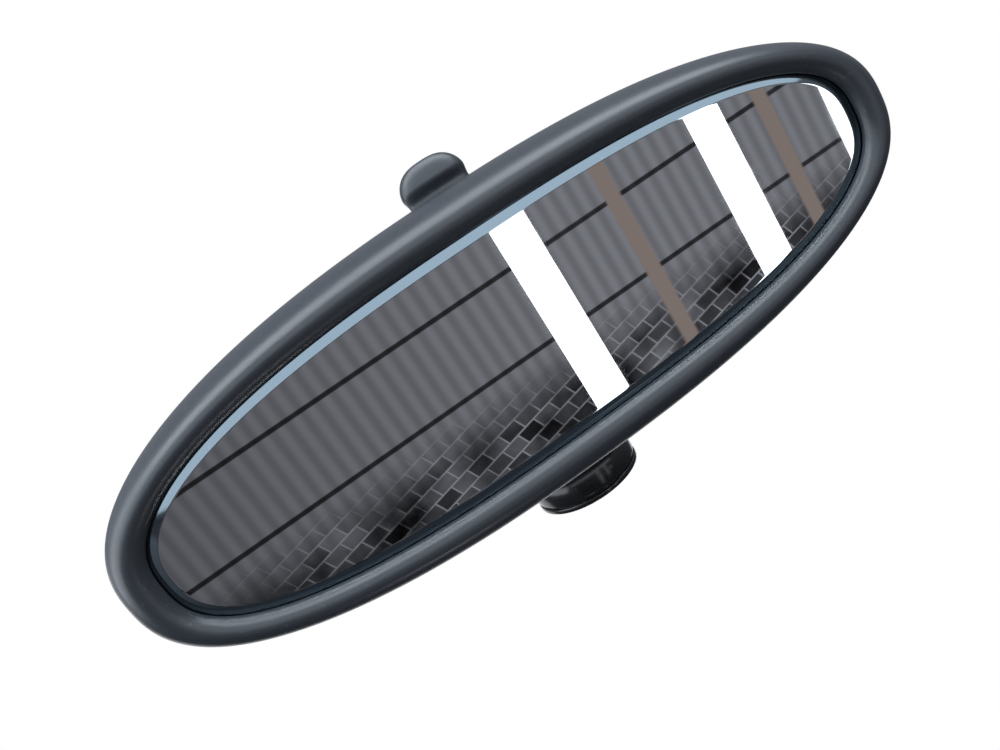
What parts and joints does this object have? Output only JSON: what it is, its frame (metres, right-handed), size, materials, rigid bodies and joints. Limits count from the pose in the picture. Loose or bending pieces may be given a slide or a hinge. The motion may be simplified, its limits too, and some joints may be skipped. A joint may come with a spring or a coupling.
{
  "type": "interior rearview mirror",
  "caption": "Oval interior rearview mirror with a rounded black rim and domed back, a day/night dipping lever, a ball joint and a bent arm on a round windscreen foot.",
  "frame": {"origin": "centre of the round foot's windscreen face, level with its rim", "axes": "+Z out of the foot's face and up in the car; the glass faces -Y, towards the driver; X along the oval head"},
  "size_m": [0.245, 0.0794, 0.1199],
  "materials": {
    "satin_black_plastic": "satin moulded black, fine grain",
    "inner_black_plastic": "plain matt moulding",
    "gloss_black_plastic": "gloss black",
    "zinc_steel": "zinc plated",
    "spring_steel": "bare spring steel",
    "natural_nylon": "natural nylon",
    "silvered_glass": "polished, silvered at the back",
    "grey_film": "matt film",
    "dark_foam": "closed-cell foam"
  },
  "bodies": {
    "mount": {"foot_body": "gloss_black_plastic", "foot_clip": "spring_steel", "foot_screw": "zinc_steel", "arm": "gloss_black_plastic", "ball_stud": "zinc_steel"},
    "liner_rear": {"ball_liner_rear": "natural_nylon"},
    "liner_front": {"ball_liner_front": "natural_nylon"},
    "socket": {"pivot_bracket": "inner_black_plastic", "socket_cap": "satin_black_plastic", "wave_washer": "spring_steel", "cap_screw_1": "zinc_steel", "cap_screw_2": "zinc_steel", "cap_screw_3": "zinc_steel"},
    "head": {"bezel": "satin_black_plastic", "rear_case": "satin_black_plastic", "mirror_glass": "silvered_glass", "backing_film": "grey_film", "foam_pad": "dark_foam", "carrier_frame": "inner_black_plastic", "frame_screw_1": "zinc_steel", "frame_screw_2": "zinc_steel", "frame_screw_3": "zinc_steel", "frame_screw_4": "zinc_steel", "hinge_pin": "zinc_steel", "hinge_clip_1": "spring_steel", "hinge_clip_2": "spring_steel", "lever_pin": "zinc_steel", "detent_spring": "spring_steel", "detent_screw": "zinc_steel"},
    "lever": {"dip_lever": "inner_black_plastic", "lever_knob": "satin_black_plastic"}
  },
  "joints": [
    {"name": "ball_pan", "type": "hinge", "parent": "mount", "child": "liner_rear", "pos_m": [0, -0.027, -0.0675], "axis": [0, 0, 1], "range_deg": [-20, 20]},
    {"name": "ball_tilt", "type": "hinge", "parent": "liner_rear", "child": "liner_front", "pos_m": [0, -0.027, -0.0675], "axis": [1, 0, 0], "range_deg": [-15, 15]},
    {"name": "ball_roll", "type": "hinge", "parent": "liner_front", "child": "socket", "pos_m": [0, -0.027, -0.0675], "axis": [0, 1, 0], "range_deg": [-8, 8]},
    {"name": "dip_tilt", "type": "hinge", "parent": "socket", "child": "head", "pos_m": [0, -0.04, -0.0405], "axis": [1, 0, 0], "range_deg": [-4, 0]},
    {"name": "lever_flip", "type": "hinge", "parent": "head", "child": "lever", "pos_m": [0, -0.037, -0.1023], "axis": [1, 0, 0], "range_deg": [-30, 0]}
  ],
  "couplings": [
    {"joint": "lever_flip", "follows": "dip_tilt", "ratio": 7.5}
  ]
}
